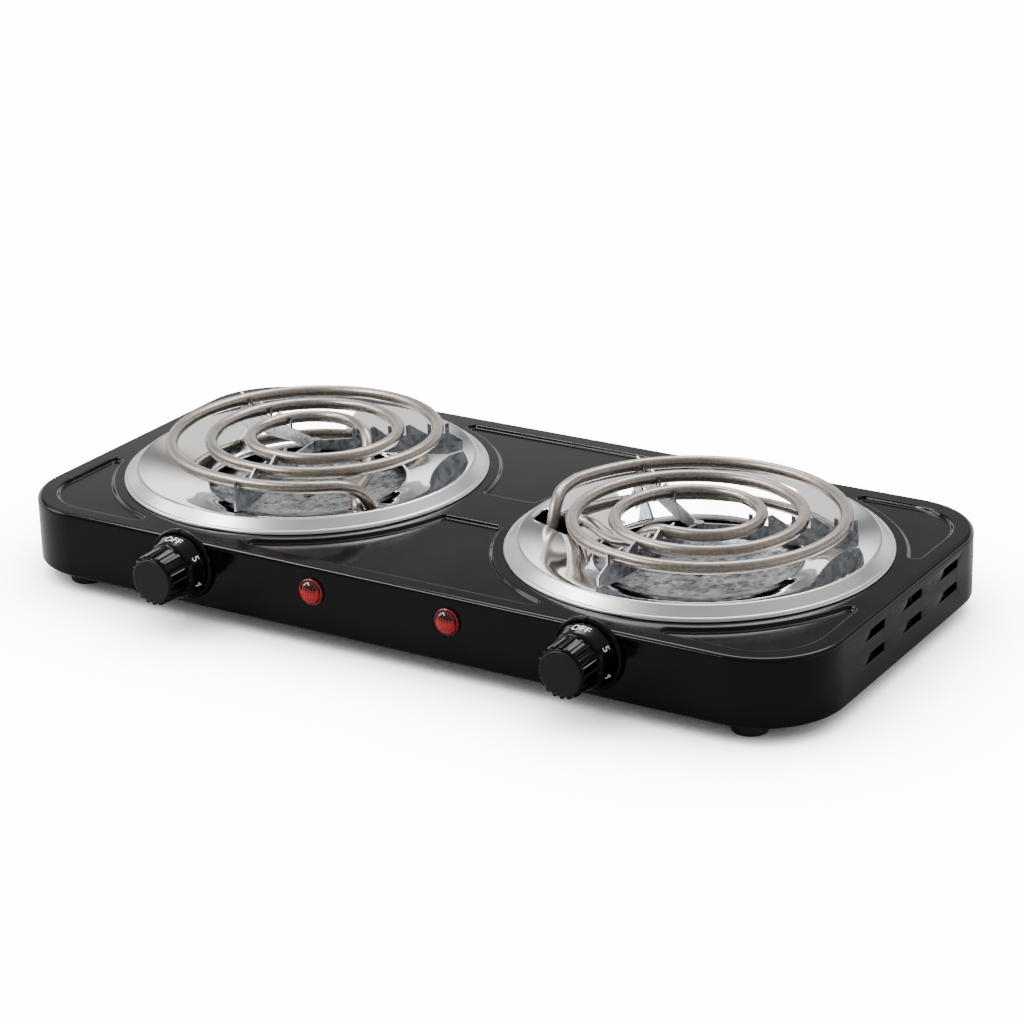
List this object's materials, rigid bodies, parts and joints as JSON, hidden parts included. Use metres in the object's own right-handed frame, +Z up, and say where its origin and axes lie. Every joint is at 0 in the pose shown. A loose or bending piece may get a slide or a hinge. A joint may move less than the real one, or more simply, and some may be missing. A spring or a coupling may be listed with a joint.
{
  "type": "double coil hot plate",
  "caption": "Countertop hot plate with spiral coil elements over chrome drip pans, rotary heat knobs and pilot lamps on a low black steel body.",
  "frame": {"origin": "centre of the bounding box's footprint, on the plane the feet stand on", "axes": "+X to the right as seen from the front, +Y to the back, +Z up; the knobs face -Y"},
  "size_m": [0.48, 0.27, 0.068],
  "materials": {
    "black_paint": "gloss black enamel paint",
    "black_steel": "satin black painted steel",
    "chrome": "bright chrome plating, satin on the flange",
    "galvanised": "dull zinc-coated sheet",
    "element_alloy": "warm grey satin heating-element sheath",
    "black_plastic": "satin black phenolic plastic",
    "red_lens": "clear red plastic lens",
    "rubber": "matt black rubber",
    "ceramic": "unglazed off-white ceramic",
    "zinc_screw": "bright zinc-plated steel",
    "wire_white": "white wire insulation",
    "nylon": "natural nylon"
  },
  "bodies": {
    "body": {"housing": "black_paint", "base_tray": "black_steel", "cord_gland": "rubber", "terminal_block": "nylon", "left_front_foot": "rubber", "left_front_foot_screw": "zinc_screw", "left_rear_foot": "rubber", "left_rear_foot_screw": "zinc_screw", "right_front_foot": "rubber", "right_front_foot_screw": "zinc_screw", "right_rear_foot": "rubber", "right_rear_foot_screw": "zinc_screw", "left_drip_pan": "chrome", "left_heat_shield": "galvanised", "left_heat_switch": "ceramic", "left_hinge_bracket": "galvanised", "left_knob_bezel": "black_plastic", "left_lamp_body": "nylon", "left_lamp_clip": "galvanised", "left_lamp_lens": "red_lens", "left_lamp_wire": "wire_white", "left_shield_screw": "zinc_screw", "left_shield_spacer": "zinc_screw", "left_supply_wire": "wire_white", "left_switch_screw_left": "zinc_screw", "left_switch_screw_right": "zinc_screw", "right_drip_pan": "chrome", "right_heat_shield": "galvanised", "right_heat_switch": "ceramic", "right_hinge_bracket": "galvanised", "right_knob_bezel": "black_plastic", "right_lamp_body": "nylon", "right_lamp_clip": "galvanised", "right_lamp_lens": "red_lens", "right_lamp_wire": "wire_white", "right_shield_screw": "zinc_screw", "right_shield_spacer": "zinc_screw", "right_supply_wire": "wire_white", "right_switch_screw_left": "zinc_screw", "right_switch_screw_right": "zinc_screw"},
    "left_knob": {"left_knob": "black_plastic", "left_knob_shaft": "zinc_screw"},
    "left_element": {"left_coil": "element_alloy", "left_coil_support": "galvanised", "left_leg_clamp": "ceramic"},
    "right_knob": {"right_knob": "black_plastic", "right_knob_shaft": "zinc_screw"},
    "right_element": {"right_coil": "element_alloy", "right_coil_support": "galvanised", "right_leg_clamp": "ceramic"}
  },
  "joints": [
    {"name": "left_knob_turn", "type": "hinge", "parent": "body", "child": "left_knob", "pos_m": [-0.1192, -0.1065, 0.032], "axis": [0, 1, 0], "range_deg": [0, 300]},
    {"name": "right_knob_turn", "type": "hinge", "parent": "body", "child": "right_knob", "pos_m": [0.1252, -0.1065, 0.032], "axis": [0, 1, 0], "range_deg": [0, 300]},
    {"name": "left_element_lift", "type": "hinge", "parent": "body", "child": "left_element", "pos_m": [-0.04473, -0.03977, 0.0345], "axis": [0.6018, 0.7986, 0], "range_deg": [0, 18]},
    {"name": "right_element_lift", "type": "hinge", "parent": "body", "child": "right_element", "pos_m": [0.0294, 0.0002, 0.0345], "axis": [0.1219, -0.9925, 0], "range_deg": [0, 18]}
  ]
}
